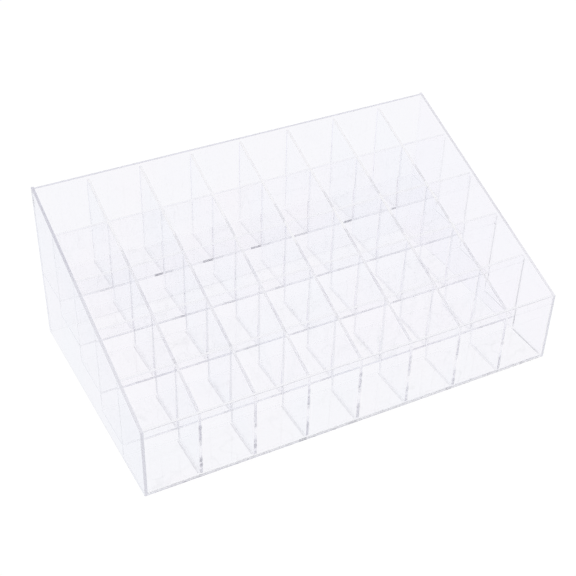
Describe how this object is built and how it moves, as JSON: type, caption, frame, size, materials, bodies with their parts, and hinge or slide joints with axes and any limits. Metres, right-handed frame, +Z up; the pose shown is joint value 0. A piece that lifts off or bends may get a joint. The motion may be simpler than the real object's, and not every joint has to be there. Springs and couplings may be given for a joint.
{
  "type": "vanity organizer",
  "caption": "Clear free-standing lipstick organizer: a slanted tray of open compartments on stepped floors, cemented from flat acrylic sheets.",
  "frame": {"origin": "on the table, under the middle of the outer walls", "axes": "+X along the width, to the right seen from the front; -Y towards the low front; +Z up"},
  "size_m": [0.2294, 0.136, 0.0918],
  "materials": {
    "outer_panel": "clear polished acrylic",
    "divider": "clear polished acrylic",
    "floor_tread": "clear polished acrylic"
  },
  "bodies": {
    "root": {"left_side_panel": "outer_panel", "right_side_panel": "outer_panel", "front_panel": "outer_panel", "back_panel": "outer_panel", "floor_tread_1": "floor_tread", "floor_tread_2": "floor_tread", "floor_tread_3": "floor_tread", "floor_tread_4": "floor_tread", "floor_tread_5": "floor_tread", "cross_divider_1": "divider", "cross_divider_2": "divider", "cross_divider_3": "divider", "cross_divider_4": "divider", "column_divider_1": "divider", "column_divider_2": "divider", "column_divider_3": "divider", "column_divider_4": "divider", "column_divider_5": "divider", "column_divider_6": "divider", "column_divider_7": "divider"}
  },
  "joints": []
}
